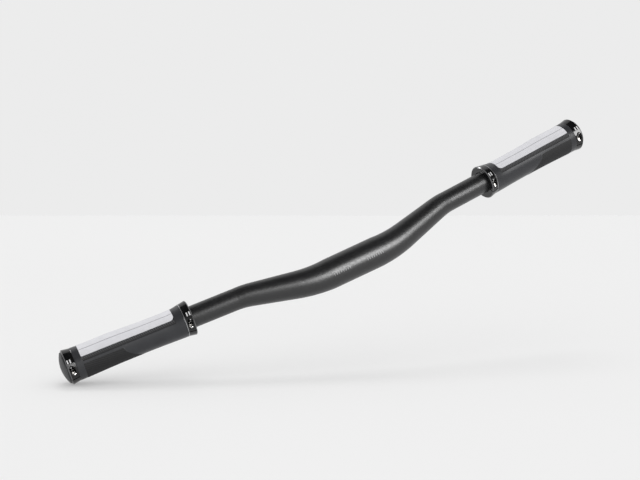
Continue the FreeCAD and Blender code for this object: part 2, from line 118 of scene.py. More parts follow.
class GripSizes(bpy.types.PropertyGroup):
    """Sizes of one grip, which both sides share."""

    grip_length: length("Grip length", "Outer face of one ring to that of the other", 0.1316)
    ring_width: length("Ring width", "Width of a clamp ring along the bar", 0.0088)
    ring_seat_radius: length("Ring seat radius", "Radius of a ring at the rubber", 0.0167)
    ring_face_radius: length("Ring face radius", "Radius of a ring at its open face", 0.018)
    ring_chamfer: length("Ring chamfer", "Chamfer on the open edge of a ring", 0.0009)
    seat_line: length("Seat line", "Bright line where an inboard ring meets the rubber", 0.0006)
    bore_radius: length("Bore radius", "Inside radius of the rubber", 0.012817)
    barrel_diameter: length("Barrel diameter", "Diameter of the rubber at the palm", 0.0322)
    # Sections: inboard end, shoulder, thumb hollow, waist, palm swell, heel and outboard end
    section_places: section_row("Section places", "Places of the sections along the rubber",
                                (0, 0.07, 0.2, 0.41, 0.66, 0.87, 1))
    section_fuller: section_row("Section fullness", "How much fuller than the barrel each is",
                                (0.0007, -0.00015, -0.0006, -0.0006, 0, 0.00025, 0.0008))
    section_lift: section_row("Section lift", "How far each is raised over the tube's axis",
                              (0, -0.0007, -0.00075, -0.00035, 0.0002, -0.00015, 0))
    edge_round: length("Edge round", "Rounding of the rubber's end edges", 0.0006)
    pad_inset: length("Pad inset", "Distance of the pad from the inboard end", 0.009)
    pad_far_inset: length("Pad far inset", "Distance of the pad from the outboard end", 0.0073)
    border_angle: angle("Border angle", "Edge of the sunk border, from the top", 82)
    border_depth: length("Border depth", "How far the border round the pad is sunk", 0.00035)
    ridge_angle: angle("Ridge angle", "Lower edge of the smooth ridge, from the top", 92)
    panel_start: length("Panel start", "Start of the panel from the inboard end", 0.065)
    panel_slant: length("Panel slant", "How much earlier the panel starts underneath", 0.018)
    panel_proud: length("Panel height", "How far the textured panel stands out", 0.0002)
    ribs: count("Ribs", "Ribs along the border beside the pad", 46, max=80)
    rib_height: length("Rib height", "Height of a rib over the sunk border", 0.0003)
    rib_slant: share("Rib slant", "How far a rib leans along, per length round the grip", 0.35)
    panel_pitch: length("Panel pitch", "From one panel rib to the next, round the grip", 0.0024)
    panel_lean: share("Panel lean", "How far a panel rib leans round, per length along it", 0.8)
    pad_angle: angle("Pad angle", "Edge of the pad, from the top", 66)
    pad_proud: length("Pad height", "How far the pad stands over the barrel", 0.00035)
    pad_corner: length("Pad corner", "Corner radius at the pad's inboard end", 0.0045)
    pad_far_corner: length("Pad far corner", "Corner radius at the pad's outboard end", 0.0012)
    pad_round: length("Pad edge round", "Rounding of the pad's upper edges", 0.00035)
    groove_angle: angle("Groove angle", "Place of the two outer grooves, from the top", 38)
    groove_width: length("Groove width", "Width of a pad groove", 0.0011)
    groove_depth: length("Groove depth", "Depth of a pad groove", 0.00045)
    stripe_angle: angle("Stripe angle", "Middle of the ring stripes, up from the front", 22.5)
    stripe_spread: angle("Stripe spread", "Length of a ring stripe round the ring", 13)
    stripe_width: length("Stripe width", "Width of a ring stripe along the bar", 0.0012)
    stripe_start: length("Stripe start", "Distance of the first stripe from the rubber", 0.0033)
    stripe_pitch: length("Stripe pitch", "Distance from one stripe to the next", 0.0027)
    dot_angle: angle("Dot angle", "Place of the ring's small dot, up from the front", 2)
    dot_width: length("Dot width", "Width of the ring's small dot", 0.0009)


class Finishes(bpy.types.PropertyGroup):
    """Colours and roughness of the finishes."""

    bar: colour("Bar", "Satin black of the bar", (0.0100, 0.0100, 0.0108))
    bar_roughness: share("Bar roughness", "Middle roughness of the bar", 0.35)
    ring: colour("Rings", "Gloss black of the clamp rings", (0.004, 0.004, 0.0045))
    edge: colour("Ring edges", "Bright machined edges of the rings", (0.55, 0.55, 0.56))
    chamfer_shine: share("Chamfer shine", "How bright the rings' open edges are", 0.22)
    seat_shine: share("Seat shine", "How bright the line beside the rubber is", 0.75)
    bolt: colour("Bolts", "Bright steel of the clamp bolts", (0.74, 0.73, 0.71))
    rubber: colour("Rubber", "Smooth part of the grip rubber", (0.030, 0.031, 0.035))
    panel: colour("Panel", "Textured part of the grip rubber", (0.0065, 0.0065, 0.0075))
    # Painted highlight: this paler colour on the rib tops beside the pad stands for the light they
    # catch
    rib: colour("Ribs", "Worn tops of the ribs beside the pad", (0.085, 0.086, 0.092))
    pad: colour("Pad", "Pale pad on top of the grip", (0.705, 0.705, 0.734))
    plug: colour("Plugs", "Dark plastic of the end plugs", (0.030, 0.031, 0.033))
    core: colour("Cores", "Black plastic of the hard sleeves", (0.012, 0.012, 0.013))
    etch: colour("Clamp marks", "Pale grey of the clamp marks", (0.42, 0.42, 0.43))
    stripe: colour("Ring marks", "White of the ring marks", (0.78, 0.78, 0.78))


class Studio(bpy.types.PropertyGroup):
    """Floor, backdrop, lights and camera."""

    floor: colour("Floor", "Pale floor", (0.850, 0.850, 0.850))
    floor_glow: share("Floor glow", "Share of its colour that the floor shows in shadow", 0.38)
    floor_up: direction("Floor up", "Upward direction of the floor",
                        (0.345132, -0.135080, 0.928783))
    floor_drop: length("Floor drop", "Depth of the floor under the origin", 0.10735)
    backdrop: colour("Backdrop", "Pale backdrop", (0.84, 0.84, 0.84))
    backdrop_way: direction("Backdrop way", "Level direction towards the backdrop",
                            (0.377773, 0.925880, -0.005722))
    backdrop_distance: length("Backdrop distance", "From the origin to the backdrop", 1.248)
    room_light: power("Room light", "Even light from all round", 0.82)
    wall_glow: share("Wall glow", "Strength of the room's walls in mirrors", 0.66)
    wall_top: share("Wall top", "Height where the mirrored walls start to darken", 0.10)
    ceiling_glow: share("Ceiling glow", "Strength of the room's ceiling in mirrors", 0.05)
    ceiling_edge: share("Ceiling edge", "Height where the mirrored ceiling starts", 0.65)
    room_grey: colour("Room grey", "Colour of the room in mirrors", (0.8, 0.8, 0.8))
    top_light: power("Top light", "Soft light from above and behind", 0.52)
    top_spread: angle("Top light spread", "How wide the top light looks", 22)
    top_way: direction("Top light way", "Direction towards the top light",
                       (0.44507, 0.30912, 0.84009))
    front_light: power("Front light", "Soft light from above and in front", 0.25)
    front_spread: angle("Front light spread", "How wide the front light looks", 60)
    front_way: direction("Front light way", "Direction towards the front light",
                         (0.13975, -0.53489, 0.83329))
    strip_light: power("Strip light", "Strip that glossy faces mirror, in watts", 31.0)
    strip_way: direction("Strip way", "Direction towards the strip", (0.400, -0.914, 0.118))
    strip_distance: length("Strip distance", "From the origin to strip and side light", 1.5)
    strip_length: length("Strip length", "Length of the strip", 1.00)
    strip_height: length("Strip height", "Height of the strip", 0.72)
    side_light: power("Side light", "Box that glossy faces mirror, in watts", 16.0)
    side_way: direction("Side light way", "Direction towards the side light",
                        (-0.490, 0.500, 0.714))
    side_size: length("Side light size", "Width and height of the side light", 0.50)
    camera_place: triple("Camera place", "Where the camera stands",
                         (-0.559991, -1.538529, 0.256738), subtype="TRANSLATION", unit="LENGTH")
    camera_turn: triple("Camera turn", "Which way the camera looks",
                        [math.radians(turn) for turn in (81.671630, 21.754005, -22.308240)],
                        subtype="EULER", unit="ROTATION")
    lens: FloatProperty(
        name="Lens", description="Focal length in millimetres", default=91.4268, min=1)


def smooth(low, high, value):
    """Smooth rise from 0 at low to 1 at high: three t squared less two t cubed."""
    t = np.clip((value - low) / (high - low), 0, 1)
    return t * t * (3 - 2 * t)


def band(low, high, width, value):
    """1 between two edges and 0 outside them, each edge a smooth rise of the given width."""
    half = width / 2
    return smooth(low - half, low + half, value) * (1 - smooth(high - half, high + half, value))


def rounding(radius, distance):
    """Drop of a quarter round: the radius less the circle's height, that far from the edge."""
    short = np.clip(radius - distance, 0, radius)
    return radius - np.sqrt(radius ** 2 - short ** 2)


def spread(*runs):
    """Sorted sample places from (start, end, count) runs, each value once."""
    return np.unique(np.round(np.concatenate([np.linspace(*run) for run in runs]), 9))


def grip_axes(bar, grip):
    """The left grip's own frame: where its rubber starts, and its along, front and up directions.

    Along is the X axis turned back by the backsweep and up by the upsweep. Front is level and
    square to it, and up is square to both. The tube ends at half the bar width, and the rubber
    starts a grip length less one ring before that.
    """
    along = np.array([
        math.cos(bar.backsweep) * math.cos(bar.upsweep),
        math.sin(bar.backsweep) * math.cos(bar.upsweep),
        math.sin(bar.upsweep),
    ])
    front = np.cross(along, (0, 0, 1))
    front /= np.linalg.norm(front)
    up = np.cross(front, along)
    bend = np.array([bar.bend_two_x, bar.bend_two_back, bar.rise])
    tube_end = bend + along * (bar.bar_width / 2 - bar.bend_two_x) / along[0]
    return tube_end - along * (grip.grip_length - grip.ring_width), along, front, up


def grip_setup(scene):
    """A scene's finishes and grip sizes, and the left grip's own frame."""
    grip = scene.handlebar_grip
    return scene.handlebar_finishes, grip, grip_axes(scene.handlebar_bar, grip)


def round_grip(axes, side, radius, turn, distance):
    """Points round the grip: start + distance along + radius (sin turn front + cos turn up).

    The right side is the left one with its X turned over.
    """
    start, along, front, up = axes
    radius, turn, distance = np.broadcast_arrays(radius, turn, distance)
    points = start + distance[..., None] * along
    points = points + (radius * np.sin(turn))[..., None] * front
    points = points + (radius * np.cos(turn))[..., None] * up
    return points * np.array([side, 1, 1])


def spline(places, values, at):
    """Natural cubic spline through values at places: its bends there solve one linear system.

    Each place inside balances its bend with its neighbours' and the change of slope there, and the
    two ends have none. Between two places the curve is the straight line less a cubic of the bends.
    """
    step, slope = np.diff(places), np.diff(values) / np.diff(places)
    balance = np.eye(len(places))
    change = np.zeros(len(places))
    inside = np.arange(1, len(places) - 1)
    balance[inside, inside - 1] = step[:-1]
    balance[inside, inside] = 2 * (step[:-1] + step[1:])
    balance[inside, inside + 1] = step[1:]
    change[inside] = 6 * np.diff(slope)
    bend = np.linalg.solve(balance, change)
    span = np.clip(np.searchsorted(places, at) - 1, 0, len(step) - 1)
    high = (at - places[span]) / step[span]
    low = 1 - high
    line = low * values[span] + high * values[span + 1]
    curve = (low ** 3 - low) * bend[span] + (high ** 3 - high) * bend[span + 1]
    return line + curve * step[span] ** 2 / 6


def rubber_length(grip):
    """Length of the rubber, from ring to ring."""
    return grip.grip_length - 2 * grip.ring_width


def contour_radius(grip, turn, distance):
    """Distance of the rubber's face from the tube's axis, before anything is sunk into it.

    Each section is a circle, raised or lowered, whose radius and lift run along a smooth spline:
    lift cos turn + root of (radius squared - (lift sin turn) squared). A quarter round ends it.
    """
    whole, barrel = rubber_length(grip), grip.barrel_diameter / 2
    places, fuller, lift = (np.array(row, dtype=float) for row in (
        grip.section_places, grip.section_fuller, grip.section_lift))
    radius = spline(whole * places, barrel + fuller, distance)
    lift = spline(whole * places, lift, distance)
    face = lift * np.cos(turn) + np.sqrt(radius ** 2 - (lift * np.sin(turn)) ** 2)
    return face - rounding(grip.edge_round, np.minimum(distance, whole - distance))


def grid_faces(rows, columns, close_rows, close_columns):
    """Corner numbers of the four-sided faces between neighbours on a grid."""
    row, column = np.meshgrid(np.arange(rows if close_rows else rows - 1),
                              np.arange(columns if close_columns else columns - 1), indexing="ij")
    row, column = row.ravel(), column.ravel()
    rows_at = np.stack([row, row + 1, row + 1, row], axis=1)
    columns_at = np.stack([column, column, column + 1, column + 1], axis=1)
    return (rows_at % rows) * columns + columns_at % columns


def make_piece(name, points, faces, masks=None, sharp=40):
    """A smooth-shaded piece at the origin from points and face corners, edges over an angle sharp.

    The masks are named numbers between 0 and 1 at the points.
    """
    mesh = bpy.data.meshes.new(name)
    mesh.from_pydata(points.reshape(-1, 3).tolist(), [], [list(face) for face in faces])
    mesh.validate()
    mesh.polygons.foreach_set("use_smooth", np.ones(len(mesh.polygons), dtype=bool))
    mesh.set_sharp_from_angle(angle=math.radians(sharp))
    for mask, values in (masks or {}).items():
        layer = mesh.attributes.new(mask, "FLOAT", "POINT")
        layer.data.foreach_set("value", np.asarray(values, dtype=np.float32).ravel())
    piece = bpy.data.objects.new(name, mesh)
    bpy.context.scene.collection.objects.link(piece)
    return piece


def fit_piece(piece, material, replaced=()):
    """Gives a piece its finish, fixes it to the bar and hides the solids that it stands for."""
    piece.data.materials.append(material)
    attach(piece, "root")
    if replaced:
        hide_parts(*replaced)


def dress_node(name, material):
    """Puts a finish on one of the model's own solids."""
    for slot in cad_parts[name].material_slots:
        slot.material = material


def dress_ends(name, material):
    """Puts a finish on the four solids of one name, at both ends of both grips."""
    for side, _ in SIDES:
        for end in ENDS:
            dress_node("%s_%s_%s" % (name, end, side), material)


def slab_faces(rows, columns, flip):
    """Faces of a closed strip: loops of points carried along, with a flat face at each end."""
    faces = grid_faces(rows, columns, False, True)
    ends = [np.arange(columns)[::-1], np.arange(columns) + (rows - 1) * columns]
    return [face[::-1] if flip else face for face in (*faces, *ends)]


def slabs(surface, starts, ends, lows, highs, lift, flip):
    """Points and faces of thin raised marks on a surface.

    The surface takes two places and a height and gives points. Each mark runs from start to end in
    the first place and from low to high in the second, and is the lift thick. A loop goes up over
    its top and back underneath, and is carried from start to end.
    """
    points, faces = [], []
    for first, last, low, high in zip(starts, ends, lows, highs):
        along = np.linspace(first, last, MARK_STEPS)[:, None]
        over = np.linspace(low, high, MARK_ACROSS)
        loop = np.concatenate([over, over[::-1]])[None, :]
        height = np.repeat([lift, lift * MARK_UNDERSIDE], MARK_ACROSS)[None, :]
        base = MARK_STEPS * MARK_ACROSS * 2 * len(points)
        points.append(surface(along, loop, height).reshape(-1, 3))
        faces += [face + base for face in slab_faces(MARK_STEPS, MARK_ACROSS * 2, flip)]
    return np.concatenate(points), faces


def tint(base, factor=1.0):
    """A colour made lighter or darker, with an alpha of one."""
    return [min(1.0, channel * factor) for channel in base] + [1.0]


class NodeBench:
    """Lays out the nodes of one material or world."""

    def __init__(self, owner, output="ShaderNodeOutputMaterial"):
        owner.use_nodes = True
        self.owner = owner
        self.tree = owner.node_tree
        self.tree.nodes.clear()
        self.output = self.tree.nodes.new(output)

    def put(self, kind, inputs=None, **settings):
        """A node with its settings, and its sockets linked or set."""
        node = self.tree.nodes.new(kind)
        for key, value in settings.items():
            setattr(node, key, value)
        for key, value in (inputs or {}).items():
            self.feed(node.inputs[key], value)
        return node

    def feed(self, socket, value):
        """Links an output to a socket, or sets the socket's own value."""
        if isinstance(value, bpy.types.NodeSocket):
            self.tree.links.new(value, socket)
        else:
            socket.default_value = value

    def show(self, shader):
        """Makes a shader the one that is seen, and gives back the material or world."""
        self.tree.links.new(shader, self.output.inputs["Surface"])
        return self.owner

    def shader(self, **inputs):
        """Shows the surface shader, with its sockets by name."""
        named = {key.replace("_", " "): value for key, value in inputs.items()}
        return self.show(self.put("ShaderNodeBsdfPrincipled", named).outputs["BSDF"])

    def mix(self, factor, first, second):
        """One shader turning into another by a factor."""
        inputs = {0: factor, 1: first.outputs[0], 2: second.outputs[0]}
        return self.put("ShaderNodeMixShader", inputs)

    def place(self):
        """The point on the object, in metres."""
        return self.put("ShaderNodeTexCoord").outputs["Object"]

    def mask(self, name):
        """A named number at each point of the piece."""
        return self.put("ShaderNodeAttribute", attribute_name=name).outputs["Fac"]

    def noise(self, vector, scale, detail=2.0, rough=0.5):
        """Cloudy noise around one half."""
        return self.put("ShaderNodeTexNoise", {
            "Vector": vector, "Scale": scale, "Detail": detail, "Roughness": rough}).outputs["Fac"]

    def clouds(self, vector, scale, detail=2.0):
        """Cloudy noise over the whole span from 0 to 1."""
        return self.span(self.noise(vector, scale, detail), 0, 1)

    def span(self, value, low, high, start=0.3, end=0.7, **settings):
        """A number moved from one span to another."""
        return self.put("ShaderNodeMapRange", {
            "Value": value, "From Min": start, "From Max": end, "To Min": low, "To Max": high,
        }, **settings).outputs["Result"]

    def blend(self, factor, first, second):
        """One colour turning into another by a factor."""
        node = self.put("ShaderNodeMix", data_type="RGBA")
        for index, value in ((0, factor), (6, first), (7, second)):
            self.feed(node.inputs[index], value)
        return node.outputs[2]

    def shades(self, factor, base, dark, light):
        """A colour turning from a darker to a lighter shade of itself by a factor."""
        return self.blend(factor, tint(base, dark), tint(base, light))

    def sum(self, operation, first, second=0.0):
        """A sum, product or other arithmetic of two numbers."""
        return self.put("ShaderNodeMath", {0: first, 1: second}, operation=operation).outputs[0]

    def between(self, value, low, high):
        """1 where a number lies between two others, and 0 elsewhere."""
        over, under = self.sum("GREATER_THAN", value, low), self.sum("LESS_THAN", value, high)
        return self.sum("MULTIPLY", over, under)

    def mirrored(self, path):
        """1 for what is seen in a mirror or through glass, and 0 elsewhere."""
        return self.sum("MAXIMUM", path["Is Glossy Ray"], path["Is Transmission Ray"])

    def along(self, vector, way):
        """How far a point lies along a direction."""
        node = self.put("ShaderNodeVectorMath", {0: vector, 1: way}, operation="DOT_PRODUCT")
        return node.outputs["Value"]

    def parts(self, vector):
        """X, Y and Z of a point."""
        return self.put("ShaderNodeSeparateXYZ", {"Vector": vector}).outputs

    def bump(self, height, strength, distance, under=None):
        """Surface relief from a height, on top of any relief under it."""
        inputs = {"Height": height, "Strength": strength, "Distance": distance}
        if under is not None:
            inputs["Normal"] = under
        return self.put("ShaderNodeBump", inputs).outputs["Normal"]


def new_finish(name):
    """A bench with a new, empty material."""
    return NodeBench(bpy.data.materials.new(name))


def bar_finish(finishes):
    """Bead-blasted satin black: grain over dimples, and turned lines in the clamp zone."""
    bench = new_finish("bar_satin_black")
    place = bench.place()
    across = bench.parts(place)[0]
    lines = bench.sum("SINE", bench.sum("MULTIPLY", across, 2 * math.pi / TURNED_PITCH))
    clamp = bench.span(bench.sum("ABSOLUTE", across), 1.0, 0.0, TURNED_FADE, TURNED_END)
    dimples = bench.bump(bench.noise(place, scale=620), strength=0.42, distance=0.00016)
    grain = bench.noise(place, scale=1250, detail=3.0, rough=0.6)
    blasted = bench.bump(grain, strength=0.36, distance=0.00006, under=dimples)
    turned = bench.sum("MULTIPLY", lines, clamp)
    uneven = bench.noise(place, scale=520, detail=3.0)
    rough = finishes.bar_roughness
    return bench.shader(
        Specular_IOR_Level=0.65,
        Base_Color=bench.shades(bench.clouds(place, 55, 4.0), finishes.bar, 0.85, 1.2),
        Roughness=bench.span(uneven, low=rough - 0.06, high=rough + 0.07),
        Normal=bench.bump(turned, strength=0.22, distance=0.00003, under=blasted),
    )


def ring_finish(finishes, grip, axes):
    """Gloss black over turned metal: fine streaks, a faint orange peel, and bright machined edges.

    The bright edges are bands by the distance along the grip: the chamfer at each open face, and a
    fine line where the inboard ring meets the rubber. Both sides share them, by the size of X.
    """
    bench = new_finish("ring_gloss_black")
    place = bench.place()
    streaks = bench.noise(place, scale=420, detail=3.0)
    start, along = axes[0], axes[1]
    x, y, z = bench.parts(place)
    left = bench.put("ShaderNodeCombineXYZ", {"X": bench.sum("ABSOLUTE", x), "Y": y, "Z": z})
    run = bench.sum("SUBTRACT", bench.along(left.outputs[0], along), float(start @ along))
    middle = rubber_length(grip) / 2
    out = bench.sum("ABSOLUTE", bench.sum("SUBTRACT", run, middle))
    out = bench.sum("SUBTRACT", out, middle)
    cone_end = grip.ring_width - grip.ring_chamfer
    chamfer = bench.between(out, cone_end + CONE_MARGIN, grip.ring_width - FACE_MARGIN)
    seat = bench.between(run, -grip.seat_line, middle)
    bright = bench.sum("MAXIMUM", bench.sum("MULTIPLY", chamfer, finishes.chamfer_shine),
                       bench.sum("MULTIPLY", seat, finishes.seat_shine))
    black = bench.shades(bench.span(streaks, 0, 1), finishes.ring, 0.8, 1.3)
    gloss = bench.span(streaks, low=0.12, high=0.22)
    return bench.shader(
        Base_Color=bench.blend(bright, black, tint(finishes.edge)),
        Metallic=bright,
        Roughness=bench.sum("ADD", gloss, bench.sum("MULTIPLY", bright, 0.12)),
        Normal=bench.bump(bench.noise(place, 900, 1.0), strength=0.05, distance=0.00004),
    )


def bolt_finish(finishes):
    """Bright steel: slight changes of tone and gloss, and fine tool marks."""
    bench = new_finish("bolt_bright_steel")
    place = bench.place()
    tone = bench.noise(place, scale=800, detail=3.0)
    return bench.shader(
        Base_Color=bench.shades(bench.span(tone, 0, 1), finishes.bolt, 0.85, 1.08),
        Metallic=1.0,
        Roughness=bench.span(tone, low=0.18, high=0.34),
        Normal=bench.bump(bench.noise(place, 2600), strength=0.08, distance=0.00003),
    )


def rubber_finish(finishes):
    """Grip rubber: satin where smooth, dull in border and panel, with painted highlights and shade
    on its ribs, and glossy lips.
    """
    bench = new_finish("grip_rubber")
    place = bench.place()
    textured = bench.sum("MAXIMUM", bench.mask("panel"), bench.mask("border"))
    plain = bench.shades(bench.clouds(place, 90, 4.0), finishes.rubber, 0.92, 1.1)
    wave = bench.span(bench.mask("wave"), 0, 1, start=1 / 3, end=1)
    # Painted shade and highlight: the textured colour is darker in the troughs and lighter on the
    # crests of the relief that the wave mask raises
    panel_and_painted_light = bench.shades(wave, finishes.panel, 0.6, 1.5)
    # Painted highlight: the rib crests beside the pad turn to the paler rib colour
    panel_and_painted_light = bench.blend(bench.mask("rib"), panel_and_painted_light, tint(finishes.rib))
    gloss = bench.span(bench.noise(place, scale=600), low=0.30, high=0.38)
    dull = bench.sum("ADD", gloss, bench.sum("MULTIPLY", textured, 0.36))
    return bench.shader(
        Base_Color=bench.blend(textured, plain, panel_and_painted_light),
        Roughness=bench.sum("SUBTRACT", dull, bench.sum("MULTIPLY", bench.mask("lip"), 0.12)),
        Specular_IOR_Level=0.40,
        Normal=bench.bump(bench.noise(place, 2300), strength=0.16, distance=0.00005),
    )


def pad_finish(finishes):
    """Pale soft pad: even moulded grain, slight clouds, and a little painted shade down in its
    grooves.
    """
    bench = new_finish("pad_pale_grey")
    place = bench.place()
    face = bench.shades(bench.clouds(place, 120, 4.0), finishes.pad, 0.96, 1.03)
    return bench.shader(
        # Painted shade: where the groove mask is 1, the colour turns to half the pad's colour
        Base_Color=bench.blend(bench.mask("groove"), face, tint(finishes.pad, 0.5)),
        Roughness=bench.span(bench.noise(place, scale=500), low=0.60, high=0.72),
        Specular_IOR_Level=0.2,
        Normal=bench.bump(bench.noise(place, 2000), strength=0.18, distance=0.00005),
    )


def plastic_finish(name, base, low, high):
    """Moulded plastic: spark-worn grain with slight changes of tone, rough from low to high."""
    bench = new_finish(name)
    place = bench.place()
    return bench.shader(
        Base_Color=bench.shades(bench.clouds(place, 160, 4.0), base, 0.9, 1.12),
        Roughness=bench.span(bench.noise(place, scale=900), low, high),
        Normal=bench.bump(bench.noise(place, 2400), strength=0.20, distance=0.00005),
    )


def mark_finish(name, base):
    """Printed or etched mark: a slightly uneven tone and a dull face."""
    bench = new_finish(name)
    place = bench.place()
    return bench.shader(
        Base_Color=bench.shades(bench.clouds(place, 2500), base, 0.82, 1.05),
        Roughness=bench.span(bench.noise(place, 1500, 1.0), low=0.45, high=0.60),
    )


def rubber_surface(grip):
    """Radius of the rubber on a grid of turns and distances, with the masks that its finish needs.

    Radius = contour - border depth x border + rib height x rib + panel height x panel x wave.
    Border and panel are products of a band round the grip and a band along it, and the panel's
    start moves inboard by the slant towards the bottom. A rib is a cosine along the border that
    fades from the pad to the border's edge, and the wave is a slanted cosine between a third and
    1. The lip is 1 at the two ends. The grid is finer at each edge.
    """
    whole = rubber_length(grip)
    near, far = grip.pad_inset, whole - grip.pad_far_inset
    edge = RELIEF_EDGE
    turn_edge = edge / (grip.barrel_diameter / 2)
    fine = []
    for way in (-1, 1):
        fine += [(way * middle - turn_edge, way * middle + turn_edge, 6)
                 for middle in (grip.border_angle, grip.ridge_angle)]
        fine += [(way * grip.pad_angle, way * (grip.pad_angle + turn_edge), 3),
                 (way * grip.pad_angle, way * grip.border_angle, 15),
                 (way * grip.ridge_angle, way * math.pi, 64)]
    turns = spread((-math.pi, math.pi, 49), *fine)[:-1][:, None]
    distances = spread(
        (0, grip.edge_round, 7), (0, near, 18), (near - edge, near + edge, 7),
        (near, far, 6 * grip.ribs + 1), (far - edge, far + edge, 7), (far, whole, 12),
        (whole - grip.edge_round, whole, 7))[None, :]
    border = (band(-grip.border_angle, grip.border_angle, turn_edge, turns)
              * band(near, far, edge, distances))
    low_turn, reach = math.pi - np.abs(turns), math.pi - grip.ridge_angle
    start = grip.panel_start - grip.panel_slant * (1 - smooth(0, reach, low_turn))
    panel = (1 - smooth(reach - turn_edge / 2, reach + turn_edge / 2, low_turn))
    panel = panel * smooth(start - edge, start + edge, distances)
    panel = panel * (1 - smooth(far - edge / 2, far + edge / 2, distances))
    lip = 1 - smooth(LIP_FADE, LIP_END, np.minimum(distances, whole - distances)) + 0 * turns
    round_way = np.abs(turns) * grip.barrel_diameter / 2
    rib_phase = (distances - near + grip.rib_slant * round_way) * grip.ribs / (far - near)
    rib = (0.5 + 0.5 * np.cos(2 * math.pi * rib_phase)) * border
    rib = rib * smooth(grip.pad_angle, grip.pad_angle + turn_edge, np.abs(turns))
    rib = rib * (1 - smooth(grip.pad_angle, grip.border_angle, np.abs(turns)))
    wave_phase = (round_way + grip.panel_lean * distances) / grip.panel_pitch
    wave = (2 + np.cos(2 * math.pi * wave_phase)) / 3
    radius = contour_radius(grip, turns, distances) - grip.border_depth * border
    radius = radius + grip.rib_height * rib + grip.panel_proud * panel * wave
    masks = {"panel": panel, "border": border, "lip": lip, "rib": rib, "wave": wave}
    return turns, distances, radius, masks


def make_rubber(name, side, grip, axes):
    """Grip rubber as a closed ring of loops: along its face, down its end and back in its bore."""
    turns, distances, radius, masks = rubber_surface(grip)
    rows = len(turns)
    bore_ends = np.tile([rubber_length(grip), 0.0], (rows, 1))
    loop_distance = np.concatenate([np.repeat(distances, rows, axis=0), bore_ends], axis=1)
    loop_radius = np.concatenate([radius, np.full((rows, 2), grip.bore_radius)], axis=1)
    points = round_grip(axes, side, loop_radius, turns, loop_distance)
    faces = grid_faces(rows, points.shape[1], True, True)
    in_bore = np.zeros((rows, 2))
    masks = {mask: np.concatenate([values, in_bore], axis=1) for mask, values in masks.items()}
    return make_piece(name, points, faces if side > 0 else faces[:, ::-1], masks, sharp=35)


def make_pad(name, side, grip, axes):
    """Pad as a loop carried along the grip: over its grooved top, down its edges and back under it.

    Top radius = contour + pad height - edge round - groove, where a groove is a smooth dip across.
    The half width is the pad angle less each end's corner round, so the loops narrow at the ends.
    """
    near, far = grip.pad_inset, rubber_length(grip) - grip.pad_far_inset
    mid = grip.barrel_diameter / 2
    lines = (-grip.groove_angle, 0, grip.groove_angle)
    distances = spread((near, near + grip.pad_round, 6), (near, near + grip.pad_corner, 18),
                       (near, far, 120), (far - grip.pad_far_corner, far, 9),
                       (far - grip.pad_round, far, 6))[:, None]
    groove_half = grip.groove_width / 2 / mid
    edge_turn = grip.pad_round / mid
    turns = spread(
        (-grip.pad_angle, grip.pad_angle, 61), (-grip.pad_angle, -grip.pad_angle + edge_turn, 6),
        (grip.pad_angle - edge_turn, grip.pad_angle, 6),
        *[(middle - groove_half, middle + groove_half, 13) for middle in lines])
    corner = (rounding(grip.pad_corner, distances - near)
              + rounding(grip.pad_far_corner, far - distances))
    half = grip.pad_angle - corner / mid
    still = PAD_STILL * grip.pad_angle
    outer = np.clip((np.abs(turns) - still) / (grip.pad_angle - still), 0, 1)[None, :]
    turn = np.sign(turns) * (np.minimum(np.abs(turns), still) + outer * (half - still))
    from_end = np.minimum(distances - near, far - distances)
    inset = np.minimum((half - np.abs(turn)) * mid, from_end)
    groove = np.zeros_like(turn)
    for middle in lines:
        groove = groove + 1 - smooth(0, groove_half, np.abs(turn - middle))
    face = contour_radius(grip, turn, distances)
    top = face + grip.pad_proud - rounding(grip.pad_round, inset) - grip.groove_depth * groove
    bed = (face - grip.border_depth + BED_GAP)[:, ::-1]
    loop_turn = np.concatenate([turn, turn[:, ::-1]], axis=1)
    loop_radius = np.concatenate([top, bed], axis=1)
    points = round_grip(axes, side, loop_radius, loop_turn, distances)
    # The groove mask marks where the pad's finish paints shade down in the grooves
    masks = {"groove": np.concatenate([groove, np.zeros_like(groove)], axis=1)}
    return make_piece(name, points, slab_faces(*loop_turn.shape, side > 0), masks, sharp=50)


class HANDLEBAR_OT_bar(bpy.types.Operator):
    """Put the satin black finish on the bar"""

    bl_idname = "handlebar.bar"
    bl_label = "Bar finish"

    def execute(self, context):
        dress_node("handlebar", bar_finish(context.scene.handlebar_finishes))
        return {"FINISHED"}


class HANDLEBAR_OT_clamp_marks(bpy.types.Operator):
    """Add the two rows of centring marks on the front of the clamp zone"""

    bl_idname = "handlebar.clamp_marks"
    bl_label = "Clamp marks"

    def execute(self, context):
        bar = context.scene.handlebar_bar

        def clamp(across, up, height):
            """Cylinder round the X axis: (across, -r cos up, r sin up), r its radius + height."""
            across, up, height = np.broadcast_arrays(across, up, height)
            radius = bar.clamp_diameter / 2 + height
            return np.stack([across, -radius * np.cos(up), radius * np.sin(up)], axis=2)

        places = bar.mark_start + bar.mark_pitch * np.arange(bar.marks)
        places = np.concatenate([-places[::-1], places])
        half = bar.mark_width / 2
        feet, tops = np.full(len(places), -bar.mark_foot), np.full(len(places), bar.mark_top)
        points, faces = slabs(clamp, places - half, places + half, feet, tops,
                              CLAMP_MARK_THICKNESS, True)
        material = mark_finish("mark_etched_grey", context.scene.handlebar_finishes.etch)
        fit_piece(make_piece("clamp_marks", points, faces), material)
        return {"FINISHED"}


class HANDLEBAR_OT_rings(bpy.types.Operator):
    """Put the gloss black finish on the four clamp rings"""

    bl_idname = "handlebar.rings"
    bl_label = "Clamp rings"

    def execute(self, context):
        dress_ends("clamp_ring", ring_finish(*grip_setup(context.scene)))
        return {"FINISHED"}


